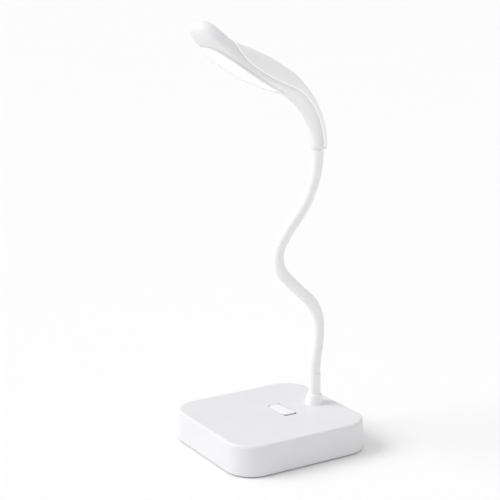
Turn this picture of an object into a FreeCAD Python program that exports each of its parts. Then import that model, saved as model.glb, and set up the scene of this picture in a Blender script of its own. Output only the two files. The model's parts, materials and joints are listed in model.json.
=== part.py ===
import FreeCAD, Part
import math
import os

import Sketcher
from FreeCAD import Matrix, Placement, Rotation, Vector

# Desk lamp: a square base with a rocker switch, a bendable neck and a leaf shaped lamp head.
# Millimetres. The origin is the centre of the base on the surface it stands on.
# +Z is up, -Y is the front that the head leans over, and the neck rises at the rear, +Y.

os.makedirs("parts", exist_ok=True)
doc = FreeCAD.newDocument("desk_lamp")
sheet = doc.addObject("Spreadsheet::Sheet", "dims")

DIMS = [
    # base housing
    ("base_x", 118.0, "outside of the base at its foot, side to side"),
    ("base_y", 126.0, "outside of the base at its foot, front to rear"),
    ("base_corner", 23.0, "corner radius in plan"),
    ("base_top", 26.0, "height of the base's top face above the table"),
    ("base_draft", 1.5, "draft of the side walls, degrees"),
    ("base_edge", 2.2, "round on the top edge"),
    ("base_foot_edge", 0.8, "round on the lower edge"),
    ("wall", 2.2, "side wall of the housing"),
    ("top_plate", 2.4, "thickness of the top face"),
    ("floor_gap", 1.0, "the housing's lower edge above the table"),
    ("cover_plate", 2.4, "thickness of the bottom cover"),
    ("cover_gap", 0.15, "gap between the bottom cover and the side wall"),
    ("pad_inset", 6.0, "from the housing's outside to the rubber pad"),
    ("pad_thick", 1.6, "thickness of the rubber pad"),
    ("pad_gap", 0.15, "gap round the rubber pad in its recess"),
    # screws of the bottom cover
    ("boss_inset", 15.5, "from the foot's outside to a screw's axis"),
    ("boss_radius", 3.6, "screw boss"),
    ("screw_radius", 1.45, "thread of the cover and board screws"),
    ("screw_gap", 0.15, "gap between a screw and its clearance hole"),
    ("screw_length", 9.0, "under the head"),
    ("head_radius", 2.7, "screw head"),
    ("head_height", 1.4, "screw head"),
    # ballast, cell and board
    ("ballast_side", 22.0, "from the housing's side to the ballast plate's end"),
    ("ballast_front", 1.4, "from the front wall to the ballast plate's frame"),
    ("ballast_y", 20.0, "steel ballast plate, front to rear"),
    ("ballast_thick", 7.0, "thickness"),
    ("ballast_gap", 0.2, "frame wider than the ballast plate"),
    ("ballast_rib", 1.6, "rib that frames the ballast plate and the cell tray"),
    ("tray_front", 8.0, "from the ballast plate's rear edge to the cell's axis, less its radius"),
    ("cell_radius", 9.2, "round lithium cell"),
    ("cell_length", 65.0, "round lithium cell"),
    ("cell_gap", 0.2, "gap between the cell and its tray"),
    ("tray_wall", 1.4, "wall of the cell tray"),
    ("contact_thick", 0.6, "contact plates at the cell's ends"),
    ("board_x", 44.0, "control board, side to side"),
    ("board_y", 33.0, "control board, front to rear"),
    ("board_thick", 1.6, "control board"),
    ("board_rise", 3.6, "standoffs under the control board"),
    ("board_rear", 1.2, "from the rear wall to the control board"),
    ("board_hole_inset", 4.0, "from the board's edge to a screw's axis"),
    ("standoff_radius", 3.0, "standoff under the board"),
    ("inlet_width", 8.9, "charging inlet's shell"),
    ("inlet_height", 3.2, "charging inlet's shell"),
    ("inlet_length", 7.4, "charging inlet's shell"),
    ("inlet_gap", 0.3, "gap round the inlet in the rear wall"),
    ("inlet_setback", 0.4, "inlet's mouth behind the rear wall's face"),
    # rocker switch
    ("rocker_length", 27.0, "across both ends"),
    ("rocker_width", 10.6, "front to rear"),
    ("rocker_tilt", 6.0, "tilt each way from level, degrees"),
    ("rocker_y", 12.0, "switch centre ahead of the base's centre"),
    ("rocker_gap", 0.35, "gap between the rocker and its window"),
    ("rocker_rise", 4.8, "ends of the rocker above its pivot"),
    ("rocker_dip", 0.9, "middle of the rocker below its ends"),
    ("rocker_round", 1.1, "round on the rocker's rims"),
    ("rocker_skirt", 3.2, "underside of the rocker below its pivot"),
    ("pivot_depth", 4.0, "pivot below the base's top face"),
    ("pin_radius", 1.0, "pivot pin"),
    ("pin_gap", 0.05, "running clearance of the pivot pin"),
    ("switch_wall", 1.4, "wall of the switch housing"),
    ("switch_depth", 10.6, "switch housing below the top plate"),
    ("ear_length", 6.0, "mounting ear of the switch housing"),
    ("ear_thick", 2.0, "mounting ear"),
    ("post_radius", 1.4, "heat stake post through an ear"),
    # neck mount
    ("neck_y", 43.8, "neck's axis behind the base's centre"),
    ("collar_foot_radius", 7.6, "collar where it meets the base"),
    ("collar_top_radius", 6.4, "collar at its rim"),
    ("collar_height", 8.6, "collar above the base"),
    ("collar_edge", 0.7, "round on the collar's rim"),
    ("shank_radius", 4.0, "threaded shank of the collar"),
    ("shank_length", 9.6, "below the base's top face"),
    ("shank_gap", 0.1, "gap round the shank"),
    ("socket_depth", 8.0, "gooseneck's seat in the collar, above the base's top face"),
    ("washer_radius", 7.4, "washer under the top plate"),
    ("washer_thick", 1.0, "washer"),
    ("nut_flats", 13.0, "hexagonal nut across flats"),
    ("nut_thick", 4.0, "hexagonal nut"),
    ("ferrule_radius", 5.1, "ferrule at the foot of the neck"),
    ("ferrule_height", 17.6, "ferrule"),
    ("ferrule_gap", 0.15, "gap between the ferrule and the sleeve"),
    # neck
    ("sleeve_radius", 4.5, "outside of the soft sleeve"),
    ("core_radius", 3.1, "steel gooseneck"),
    ("core_gap", 0.2, "gap between the gooseneck and the sleeve"),
    ("core_bore", 2.05, "bore of the gooseneck"),
    ("lead_radius", 1.2, "two core lead in the neck"),
    ("lead_break", 0.35, "each side of a neck pivot, free of the lead"),
    ("ball_radius", 3.7, "ball end of a neck link"),
    ("cup_radius", 4.0, "cup that a ball end turns in"),
    ("shoulder_radius", 4.8, "clear of the next link's rim"),
    ("ball_cut", 1.2, "ball end, past its centre"),
    # lamp head
    ("stem_straight", 3.0, "straight foot of the stem"),
    ("stem_bend", 50.9, "underside's bend radius where the stem turns forward"),
    ("stem_turn", 70.3, "turn of that bend, degrees"),
    ("leaf_bend", 204.5, "underside's bend radius along the light panel"),
    ("stem_radius", 5.0, "round stem of the head"),
    ("stem_socket", 12.0, "gooseneck's seat in the stem"),
    ("cover_proud", 0.4, "back cover stands proud of the head's side"),
    ("cover_seam", 0.15, "gap under the back cover"),
    ("cover_start", 1.5, "back cover's free end above the head's lower end"),
    ("stem_plain", 30.0, "the head under its cover is round up to here"),
    ("nose_length", 25.9, "rounded nose, beyond the last section of the table"),
    ("cover_depth", 2.6, "top of the back cover above the part under it"),
    ("head_shell", 2.2, "shell of the head over the light"),
    ("panel_start", 65.0, "along the underside, from the head's lower end"),
    ("panel_end", 142.0, "along the underside"),
    ("panel_half", 18.6, "half the light panel's width"),
    ("panel_thick", 1.9, "diffuser, at its middle"),
    ("panel_gap", 0.15, "gap round the diffuser"),
    ("panel_ledge", 1.3, "ledge that the diffuser rests on"),
    ("reflector_depth", 2.4, "reflector frame behind the diffuser"),
    ("reflector_wall", 1.2, "reflector frame"),
    ("strip_thick", 1.2, "light board"),
    ("led_count", 9, "light emitting diodes in each of two rows"),
    ("led_inset", 11.0, "from the panel's ends to the first and last diode"),
    ("led_row", 6.5, "from the board's middle to a row"),
    ("led_length", 3.5, "diode along the board"),
    ("led_width", 2.8, "diode across the board"),
    ("led_height", 0.8, "diode"),
    ("post_half", 2.3, "screw post behind the light board"),
    ("head_screw_radius", 1.0, "screw through the light board"),
    ("head_screw_head", 1.9, "its head"),
    ("head_screw_length", 5.5, "under its head"),
    ("head_screw_top", 0.8, "its head's height"),
    ("post_inset", 17.0, "from the panel's ends to a screw, along the underside"),
]

# The neck is a chain of tangent arcs from the ferrule to the head: length, then turn in degrees.
# A positive turn leans the neck to the rear. The first arc is fixed to the base, the last to the head.
NECK_ARCS = [(21.0, 11.0), (23.0, -16.0), (26.0, -44.0), (30.0, 5.0),
             (32.0, 77.0), (20.0, 9.0), (30.0, -20.0), (29.0, -22.0)]
LINKS = len(NECK_ARCS) - 2

# Cross sections of the head, along its underside from the lower end: place, half width, height of
# the back cover, height of the widest point, squareness of the lower half, and height of the seam
# line on the side. Beyond the last one the head closes in a rounded nose.
HEAD_SECTIONS = [
    (0.0, 5.0, 13.0, 5.0, 2.0, 7.4),
    (24.0, 8.7, 12.9, 4.8, 2.0, 6.0),
    (47.0, 13.6, 14.6, 4.6, 2.4, 5.7),
    (67.0, 19.1, 19.4, 4.6, 3.4, 5.5),
    (86.0, 21.0, 21.6, 4.6, 4.0, 5.6),
    (106.0, 20.6, 20.1, 4.7, 4.0, 6.2),
    (120.0, 19.8, 17.1, 5.0, 3.7, 8.9),
    (132.0, 19.1, 15.6, 5.6, 3.1, 17.6),
]
HEAD_STEPS = 12
NOSE_SHARES = (0.32, 0.56, 0.75, 0.88, 0.955, 0.99)
INNER_SHARE = 0.9

row = 0
for alias, value, note in DIMS:
    row += 1
    sheet.set("A%d" % row, note)
    sheet.set("B%d" % row, str(value))
    sheet.setAlias("B%d" % row, alias)
for index, (length, turn) in enumerate(NECK_ARCS):
    for alias, value in (("neck_length_%d" % index, length), ("neck_turn_%d" % index, turn)):
        row += 1
        sheet.set("A%d" % row, "neck arc %d" % index)
        sheet.set("B%d" % row, str(value))
        sheet.setAlias("B%d" % row, alias)
doc.recompute()


def dim(alias):
    return float(getattr(sheet, alias))


# ---------------------------------------------------------------- helpers

NODES = []


def origin_plane(body, role):
    for feature in body.Origin.OriginFeatures:
        if feature.Role == role:
            return feature
    raise RuntimeError("no plane " + role)


def new_body(label):
    body = doc.addObject("PartDesign::Body", label)
    body.Label = label
    NODES.append(body)
    return body


def new_sketch(body, role, offset="0"):
    sketch = body.newObject("Sketcher::SketchObject", "sketch")
    sketch.AttachmentSupport = (origin_plane(body, role), "")
    sketch.MapMode = "FlatFace"
    sketch.setExpression("AttachmentOffset.Base.z", offset)
    return sketch


def bind(sketch, kind, refs, expression, start=1.0):
    index = sketch.addConstraint(Sketcher.Constraint(kind, *refs, start))
    sketch.setExpression("Constraints[%d]" % index, expression)


def evaluate(expression):
    holder = doc.addObject("App::FeaturePython", "value")
    holder.addProperty("App::PropertyFloat", "result")
    holder.setExpression("result", expression)
    holder.recompute()
    result = holder.result
    doc.removeObject(holder.Name)
    return result


def draw_circle(sketch, x, y, radius):
    """A circle whose centre and radius are bound to expressions."""
    centre = Vector(evaluate(x), evaluate(y), 0)
    g = sketch.addGeometry(Part.Circle(centre, Vector(0, 0, 1), evaluate(radius)))
    bind(sketch, "DistanceX", (-1, 1, g, 3), x, centre.x)
    bind(sketch, "DistanceY", (-1, 1, g, 3), y, centre.y)
    bind(sketch, "Radius", (g,), radius, evaluate(radius))


def draw_polygon(sketch, corners):
    """A closed outline whose corners are bound to expressions."""
    points = [Vector(evaluate(x), evaluate(y), 0) for x, y in corners]
    first = sketch.GeometryCount
    count = len(points)
    for i in range(count):
        sketch.addGeometry(Part.LineSegment(points[i], points[(i + 1) % count]))
    for i in range(count):
        sketch.addConstraint(Sketcher.Constraint("Coincident", first + i, 2, first + (i + 1) % count, 1))
        bind(sketch, "DistanceX", (-1, 1, first + i, 1), corners[i][0], points[i].x)
        bind(sketch, "DistanceY", (-1, 1, first + i, 1), corners[i][1], points[i].y)


def draw_rounded(sketch, width, depth, radius, x="0", y="0"):
    """A rectangle with round corners, centred on x, y; every size is an expression."""
    w, d, r = evaluate(width) / 2, evaluate(depth) / 2, evaluate(radius)
    cx, cy = evaluate(x), evaluate(y)
    ends = [(-w + r, -d, w - r, -d), (w, -d + r, w, d - r), (w - r, d, -w + r, d), (-w, d - r, -w, -d + r)]
    hubs = [(w - r, -d + r, -90), (w - r, d - r, 0), (-w + r, d - r, 90), (-w + r, -d + r, 180)]
    n = sketch.GeometryCount
    for x0, y0, x1, y1 in ends:
        sketch.addGeometry(Part.LineSegment(Vector(cx + x0, cy + y0, 0), Vector(cx + x1, cy + y1, 0)))
    for hx, hy, start in hubs:
        circle = Part.Circle(Vector(cx + hx, cy + hy, 0), Vector(0, 0, 1), r)
        sketch.addGeometry(Part.ArcOfCircle(circle, math.radians(start), math.radians(start + 90)))
    for i in range(4):
        sketch.addConstraint(Sketcher.Constraint("Tangent", n + i, 2, n + 4 + i, 1))
        sketch.addConstraint(Sketcher.Constraint("Tangent", n + 4 + i, 2, n + (i + 1) % 4, 1))
    for line, kind in ((n, "Horizontal"), (n + 1, "Vertical"), (n + 2, "Horizontal"), (n + 3, "Vertical")):
        sketch.addConstraint(Sketcher.Constraint(kind, line))
    for other in (n + 5, n + 6, n + 7):
        sketch.addConstraint(Sketcher.Constraint("Equal", n + 4, other))
    bind(sketch, "Radius", (n + 4,), radius, r)
    bind(sketch, "DistanceX", (n + 7, 3, n + 4, 3), "%s - 2 * (%s)" % (width, radius), 2 * (w - r))
    bind(sketch, "DistanceY", (n + 4, 3, n + 5, 3), "%s - 2 * (%s)" % (depth, radius), 2 * (d - r))
    bind(sketch, "DistanceX", (-1, 1, n + 7, 3), "%s - (%s) / 2 + %s" % (x, width, radius), cx - w + r)
    bind(sketch, "DistanceY", (-1, 1, n + 7, 3), "%s - (%s) / 2 + %s" % (y, depth, radius), cy - d + r)


def pad(body, sketch, length, reverse=False, taper=None):
    feature = body.newObject("PartDesign::Pad", "pad")
    feature.Profile = sketch
    feature.setExpression("Length", length)
    feature.Reversed = reverse
    if taper is not None:
        feature.setExpression("TaperAngle", taper)
    doc.recompute()
    return feature


def pocket(body, sketch, length, reverse=False):
    before = body.Shape.Volume
    feature = body.newObject("PartDesign::Pocket", "pocket")
    feature.Profile = sketch
    feature.setExpression("Length", length)
    feature.Reversed = reverse
    doc.recompute()
    if not body.Shape.Volume < before - 1e-3:
        raise RuntimeError("a pocket in %s cuts nothing" % body.Label)
    return feature


def fillet(body, base, edges, radius):
    feature = body.newObject("PartDesign::Fillet", "fillet")
    feature.Base = (base, edges)
    feature.setExpression("Radius", radius)
    doc.recompute()
    return feature


def revolve(body, sketch):
    feature = body.newObject("PartDesign::Revolution", "revolution")
    feature.Profile = sketch
    feature.ReferenceAxis = (sketch, ["V_Axis"])
    feature.Angle = 360
    doc.recompute()
    return feature


def edges_at(shape, z, tolerance=1e-4):
    """Names of the edges that lie wholly at one height."""
    found = []
    for i, edge in enumerate(shape.Edges):
        box = edge.BoundBox
        if abs(box.ZMin - z) < tolerance and abs(box.ZMax - z) < tolerance:
            found.append("Edge%d" % (i + 1))
    return found


def turned(label, profile, x="0", y="0", z="0"):
    """A body revolved about a vertical axis; profile is (radius, height) pairs."""
    body = new_body(label)
    sketch = new_sketch(body, "XZ_Plane")
    draw_polygon(sketch, profile)
    revolve(body, sketch)
    for axis, place in (("x", x), ("y", y), ("z", z)):
        body.setExpression("Placement.Base." + axis, place)
    return body


def put(label, shape):
    """A sub-part whose shape is worked out here from the sheet's values."""
    feature = doc.addObject("Part::Feature", label)
    feature.Label = label
    feature.Shape = shape
    feature.Placement = Placement()
    NODES.append(feature)
    return feature


def cylinder(radius, start, direction, length):
    return Part.makeCylinder(radius, length, start, direction)


def ball(radius, centre, axis):
    """A ball with its poles on the axis, so that the zones cut from it keep clear of them."""
    return Part.makeSphere(radius, centre, axis)


def block(x0, y0, z0, x1, y1, z1):
    return Part.makeBox(x1 - x0, y1 - y0, z1 - z0, Vector(x0, y0, z0))


def fused(shapes):
    whole = shapes[0]
    if len(shapes) > 1:
        whole = whole.fuse(shapes[1:])
    return whole.removeSplitter()


def disc(radius, centre, normal, hole=None):
    face = Part.Face(Part.Wire(Part.makeCircle(radius, centre, normal)))
    if hole is None:
        return face
    return face.cut(Part.Face(Part.Wire(Part.makeCircle(hole, centre, normal)))).Faces[0]


def lead(points, radius, bend):
    """A round lead along straight runs joined by tangent arcs."""
    edges = []
    start = points[0]
    for before, corner, after in zip(points, points[1:], points[2:]):
        u = (before - corner).normalize()
        w = (after - corner).normalize()
        half = u.getAngle(w) / 2
        reach = bend / math.tan(half)
        middle = corner + (u + w).normalize() * (bend / math.sin(half) - bend)
        edges.append(Part.LineSegment(start, corner + u * reach).toShape())
        edges.append(Part.Arc(corner + u * reach, middle, corner + w * reach).toShape())
        start = corner + w * reach
    edges.append(Part.LineSegment(start, points[-1]).toShape())
    path = Part.Wire(edges)
    section = Part.Wire(Part.makeCircle(radius, points[0], points[1] - points[0]))
    tube = path.makePipeShell([section], True, False)
    expected = math.pi * radius ** 2 * path.Length
    if abs(tube.Volume - expected) > 0.02 * expected:
        raise RuntimeError("a lead's sweep has the wrong volume")
    return tube


# ---------------------------------------------------------------- base housing

INNER_X = "(dims.base_x - 2 * dims.wall - 2 * (dims.base_top - dims.floor_gap) * tan(dims.base_draft * 1deg))"
INNER_Y = "(dims.base_y - 2 * dims.wall - 2 * (dims.base_top - dims.floor_gap) * tan(dims.base_draft * 1deg))"
INNER_CORNER = "(dims.base_corner - dims.wall)"
CEILING = "(dims.base_top - dims.top_plate)"
COVER_TOP = "(dims.floor_gap + dims.cover_plate)"
BOSS_X = "(dims.base_x / 2 - dims.boss_inset)"
BOSS_Y = "(dims.base_y / 2 - dims.boss_inset)"
CORNERS = [(sx, sy) for sx in ("1", "-1") for sy in ("1", "-1")]
WINDOW_X = "(dims.rocker_length + 2 * dims.rocker_gap)"
WINDOW_Y = "(dims.rocker_width + 2 * dims.rocker_gap)"
EAR_X = "(dims.rocker_length / 2 + dims.rocker_gap + dims.switch_wall + dims.ear_length / 2)"
BOARD_Z = "(%s + dims.board_rise)" % COVER_TOP
BOARD_TOP = "(%s + dims.board_thick)" % BOARD_Z
INLET_Z = "(%s + dims.inlet_height / 2)" % BOARD_TOP


def base_shell():
    body = new_body("base_shell")
    outline = new_sketch(body, "XY_Plane", "dims.floor_gap")
    draw_rounded(outline, "dims.base_x", "dims.base_y", "dims.base_corner")
    block_pad = pad(body, outline, "dims.base_top - dims.floor_gap", taper="-dims.base_draft")
    top = fillet(body, block_pad, edges_at(block_pad.Shape, dim("base_top")), "dims.base_edge")
    fillet(body, top, edges_at(top.Shape, dim("floor_gap")), "dims.base_foot_edge")

    cavity = new_sketch(body, "XY_Plane", "dims.floor_gap")
    draw_rounded(cavity, INNER_X, INNER_Y, INNER_CORNER)
    pocket(body, cavity, CEILING + " - dims.floor_gap", reverse=True)

    bosses = new_sketch(body, "XY_Plane", COVER_TOP)
    for sx, sy in CORNERS:
        draw_circle(bosses, sx + " * " + BOSS_X, sy + " * " + BOSS_Y, "dims.boss_radius")
    pad(body, bosses, "%s - %s + dims.top_plate / 2" % (CEILING, COVER_TOP))
    pilots = new_sketch(body, "XY_Plane", COVER_TOP)
    for sx, sy in CORNERS:
        draw_circle(pilots, sx + " * " + BOSS_X, sy + " * " + BOSS_Y, "dims.screw_radius")
    pocket(body, pilots, "dims.screw_length", reverse=True)

    stakes = new_sketch(body, "XY_Plane", CEILING + " - dims.ear_thick - 0.8")
    for sx in ("1", "-1"):
        draw_circle(stakes, sx + " * " + EAR_X, "dims.rocker_y", "dims.post_radius")
    pad(body, stakes, "dims.ear_thick + 0.8 + dims.top_plate / 2")

    window = new_sketch(body, "XY_Plane", CEILING)
    draw_rounded(window, WINDOW_X, WINDOW_Y, "0.8", "0", "dims.rocker_y")
    pocket(body, window, "dims.top_plate + 1", reverse=True)
    shank = new_sketch(body, "XY_Plane", CEILING)
    draw_circle(shank, "0", "dims.neck_y", "dims.shank_radius + dims.shank_gap")
    pocket(body, shank, "dims.top_plate + 1", reverse=True)

    slot = new_sketch(body, "XZ_Plane", "-dims.base_y / 2 - 1")
    draw_rounded(slot, "dims.inlet_width + 2 * dims.inlet_gap", "dims.inlet_height + 2 * dims.inlet_gap",
                 "dims.inlet_height / 2 - 0.1", "0", INLET_Z)
    pocket(body, slot, "dims.wall * 2 + 2", reverse=True)


def bottom_cover():
    body = new_body("bottom_cover")
    outline = new_sketch(body, "XY_Plane", "dims.floor_gap")
    draw_rounded(outline, INNER_X + " - 2 * dims.cover_gap", INNER_Y + " - 2 * dims.cover_gap",
                 INNER_CORNER + " - dims.cover_gap")
    pad(body, outline, "dims.cover_plate")

    frame = new_sketch(body, "XY_Plane", COVER_TOP)
    draw_rounded(frame, BALLAST_X + " + 2 * dims.ballast_rib + dims.ballast_gap",
                 "dims.ballast_y + 2 * dims.ballast_rib + dims.ballast_gap",
                 "1.2", "0", BALLAST_Y)
    draw_rounded(frame, BALLAST_X + " + dims.ballast_gap", "dims.ballast_y + dims.ballast_gap", "0.4",
                 "0", BALLAST_Y)
    pad(body, frame, "dims.ballast_thick / 2")

    standoffs = new_sketch(body, "XY_Plane", COVER_TOP)
    for sx in ("1", "-1"):
        for sy in ("1", "-1"):
            draw_circle(standoffs, "%s * %s" % (sx, BOARD_HOLE_X), "%s + %s * %s" % (BOARD_Y, sy, BOARD_HOLE_Y),
                        "dims.standoff_radius")
    pad(body, standoffs, "dims.board_rise")
    pilots = new_sketch(body, "XY_Plane", BOARD_Z)
    for sx in ("1", "-1"):
        for sy in ("1", "-1"):
            draw_circle(pilots, "%s * %s" % (sx, BOARD_HOLE_X), "%s + %s * %s" % (BOARD_Y, sy, BOARD_HOLE_Y),
                        "dims.screw_radius")
    pocket(body, pilots, "dims.board_rise + 0.8")

    recess = new_sketch(body, "XY_Plane", "dims.floor_gap")
    draw_rounded(recess, "dims.base_x - 2 * dims.pad_inset + 2 * dims.pad_gap",
                 "dims.base_y - 2 * dims.pad_inset + 2 * dims.pad_gap",
                 "dims.base_corner - dims.pad_inset + dims.pad_gap")
    pocket(body, recess, "dims.pad_thick - dims.floor_gap", reverse=True)

    heads = new_sketch(body, "XY_Plane", "dims.pad_thick")
    holes = new_sketch(body, "XY_Plane", "dims.pad_thick")
    for sx, sy in CORNERS:
        place = (sx + " * " + BOSS_X, sy + " * " + BOSS_Y)
        draw_circle(heads, place[0], place[1], "dims.head_radius + dims.screw_gap")
        draw_circle(holes, place[0], place[1], "dims.screw_radius + dims.screw_gap")
    pocket(body, heads, "dims.head_height", reverse=True)
    pocket(body, holes, "dims.cover_plate", reverse=True)


def antislip_pad():
    body = new_body("antislip_pad")
    outline = new_sketch(body, "XY_Plane")
    draw_rounded(outline, "dims.base_x - 2 * dims.pad_inset", "dims.base_y - 2 * dims.pad_inset",
                 "dims.base_corner - dims.pad_inset")
    pad(body, outline, "dims.pad_thick")


def screw_group(label, places, head_z, direction, radius, head, height, length):
    """Pan head screws, with their heads on head_z and their threads along direction."""
    shapes = []
    for x, y in places:
        seat = Vector(x, y, head_z)
        top = cylinder(head, seat, -direction, height)
        slot = block(x - head, y - 0.3, -0.35, x + head, y + 0.3, 0.35)
        slot.translate(Vector(0, 0, head_z) - direction * height)
        shapes.append(top.cut(slot).fuse(cylinder(radius, seat, direction, length)).removeSplitter())
    return put(label, Part.makeCompound(shapes))


# ---------------------------------------------------------------- inside the base

BALLAST_X = "(dims.base_x - 2 * dims.ballast_side)"
BALLAST_Y = "(-(%s) / 2 + dims.ballast_front + dims.ballast_rib + dims.ballast_y / 2)" % INNER_Y
CELL_Y = "(%s + dims.ballast_y / 2 + dims.tray_front + dims.cell_radius)" % BALLAST_Y
CELL_Z = "(%s + dims.tray_wall + dims.cell_radius)" % COVER_TOP
REAR_WALL = "(%s / 2)" % INNER_Y
BOARD_Y = "(%s - dims.board_rear - dims.board_y / 2)" % REAR_WALL
BOARD_HOLE_X = "(dims.board_x / 2 - dims.board_hole_inset)"
BOARD_HOLE_Y = "(dims.board_y / 2 - dims.board_hole_inset)"
SOCKET_X = 9.0
SOCKET_ROW = 16.0
NECK_SOCKET = 11.0
SOCKET_DEPTH = 4.0
SOCKET_HEIGHT = 3.2


def ballast_plate():
    body = new_body("ballast_plate")
    outline = new_sketch(body, "XY_Plane", COVER_TOP)
    draw_rounded(outline, BALLAST_X, "dims.ballast_y", "0.4", "0", BALLAST_Y)
    pad(body, outline, "dims.ballast_thick")


def cell_parts():
    """The round cell lies across the base in a tray, between two contact plates."""
    radius = dim("cell_radius")
    half = dim("cell_length") / 2
    centre_y = evaluate(CELL_Y)
    centre_z = evaluate(CELL_Z)
    floor = evaluate(COVER_TOP)
    button = 0.8
    cell = cylinder(radius, Vector(-half, centre_y, centre_z), Vector(1, 0, 0), 2 * half - button)
    cell = cell.fuse(cylinder(radius / 3, Vector(half - button, centre_y, centre_z), Vector(1, 0, 0), button))
    put("battery_cell", cell.removeSplitter())

    gap, wall, plate = dim("cell_gap"), dim("tray_wall"), dim("contact_thick")
    inner_half = half + plate + gap
    side = radius + gap
    tray = block(-inner_half - wall, centre_y - side - wall, floor,
                 inner_half + wall, centre_y + side + wall, centre_z + radius * 0.35)
    hollow = cylinder(side, Vector(-inner_half, centre_y, centre_z), Vector(1, 0, 0), 2 * inner_half)
    mouth = block(-inner_half, centre_y - side, centre_z, inner_half, centre_y + side, centre_z + 2 * radius)
    relief = block(-half * 0.6, centre_y - side - 2 * wall, centre_z - radius * 0.2,
                   half * 0.6, centre_y + side + 2 * wall, centre_z + 2 * radius)
    put("battery_tray", tray.cut(hollow.fuse(mouth)).cut(relief).removeSplitter())

    plates = []
    for sign in (-1, 1):
        near, far = sorted((sign * half, sign * (half + plate)))
        plates.append(block(near, centre_y - radius * 0.6, centre_z - radius * 0.6,
                            far, centre_y + radius * 0.6, centre_z + radius * 0.6))
    put("battery_contacts", Part.makeCompound(plates))


def control_board():
    body = new_body("control_board")
    outline = new_sketch(body, "XY_Plane", BOARD_Z)
    draw_rounded(outline, "dims.board_x", "dims.board_y", "1", "0", BOARD_Y)
    pad(body, outline, "dims.board_thick")
    holes = new_sketch(body, "XY_Plane", BOARD_Z)
    for sx in ("1", "-1"):
        for sy in ("1", "-1"):
            draw_circle(holes, "%s * %s" % (sx, BOARD_HOLE_X), "%s + %s * %s" % (BOARD_Y, sy, BOARD_HOLE_Y),
                        "dims.screw_radius + dims.screw_gap")
    pocket(body, holes, "dims.board_thick", reverse=True)


def board_components():
    """Charging chip, coil, capacitor and the lead connectors soldered to the board."""
    top = evaluate(BOARD_TOP)
    y = evaluate(BOARD_Y)
    sockets = [(x, SOCKET_ROW) for x in (-SOCKET_X, 0.0, SOCKET_X)] + [(0.0, NECK_SOCKET)]
    pieces = [
        block(5.0, y - 7.0, top, 11.0, y - 2.0, top + 1.5),
        block(-13.0, y - 2.0, top, -7.5, y + 3.5, top + 2.6),
        cylinder(2.5, Vector(10.0, y + 4.0, top), Vector(0, 0, 1), 5.0),
    ]
    for x, ahead in sockets:
        pieces.append(block(x - 3.0, y - ahead, top, x + 3.0, y - ahead + SOCKET_DEPTH, top + SOCKET_HEIGHT))
    put("board_components", Part.makeCompound(pieces))


def charge_inlet():
    """Oval metal receptacle with its tongue, at the rear of the board."""
    width, height, length = dim("inlet_width"), dim("inlet_height"), dim("inlet_length")
    z = evaluate(INLET_Z)
    draft = math.tan(math.radians(dim("base_draft")))
    face = dim("base_y") / 2 - (z - dim("floor_gap")) * draft - dim("inlet_setback")
    shell = 0.3
    tongue = 0.7

    def oval(w, t, y0, y1):
        r = t / 2
        bar = block(-w / 2 + r, y0, z - r, w / 2 - r, y1, z + r)
        ends = [cylinder(r, Vector(s * (w / 2 - r), y0, z), Vector(0, 1, 0), y1 - y0) for s in (-1, 1)]
        return fused([bar] + ends)

    body = oval(width, height, face - length, face)
    body = body.cut(oval(width - 2 * shell, height - 2 * shell, face - length + 1.0, face + 1.0))
    blade = block(-width / 2 + 1.2, face - length + 0.5, z - tongue / 2,
                  width / 2 - 1.2, face - 0.8, z + tongue / 2)
    put("charge_inlet", body.fuse(blade).removeSplitter())


# ---------------------------------------------------------------- rocker switch

SWITCH_BLADES = (-0.6, 0.0, 0.6)
BLADE_THICK = 0.6
BLADE_LENGTH = 5.0


def pivot_point():
    return Vector(0, dim("rocker_y"), dim("base_top") - dim("pivot_depth"))


def rocker():
    """Built level about its pivot; the placement tilts it to the side that is up at rest."""
    half, width = dim("rocker_length") / 2, dim("rocker_width")
    rise, dip, skirt = dim("rocker_rise"), dim("rocker_dip"), dim("rocker_skirt")
    centre = Vector(0, 0, 0)
    left, right = Vector(-half, 0, rise), Vector(half, 0, rise)
    top = Part.Arc(left, Vector(0, 0, rise - dip), right).toShape()
    low = [right, Vector(half, 0, -1.2), Vector(half * 0.45, 0, -skirt),
           Vector(-half * 0.45, 0, -skirt), Vector(-half, 0, -1.2), left]
    outline = Part.Wire([top] + [Part.LineSegment(a, b).toShape() for a, b in zip(low, low[1:])])
    prism = Part.Face(outline).extrude(Vector(0, width, 0))
    prism.translate(Vector(0, -width / 2, 0))
    prism = prism.common(cylinder(half, Vector(0, -width, 0), Vector(0, 1, 0), 2 * width))
    rims = []
    for edge in prism.Edges:
        if edge.BoundBox.ZMin > rise - dip - 0.6:
            rims.append(edge)
    prism = prism.makeFillet(dim("rocker_round"), rims)
    bore = cylinder(dim("pin_radius") + dim("pin_gap"), Vector(0, -width, 0), Vector(0, 1, 0), 2 * width)
    prism = prism.cut(bore)
    feature = put("rocker", prism)
    feature.Placement = Placement(pivot_point(), Rotation(Vector(0, 1, 0), -dim("rocker_tilt")), centre)
    return feature


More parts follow.
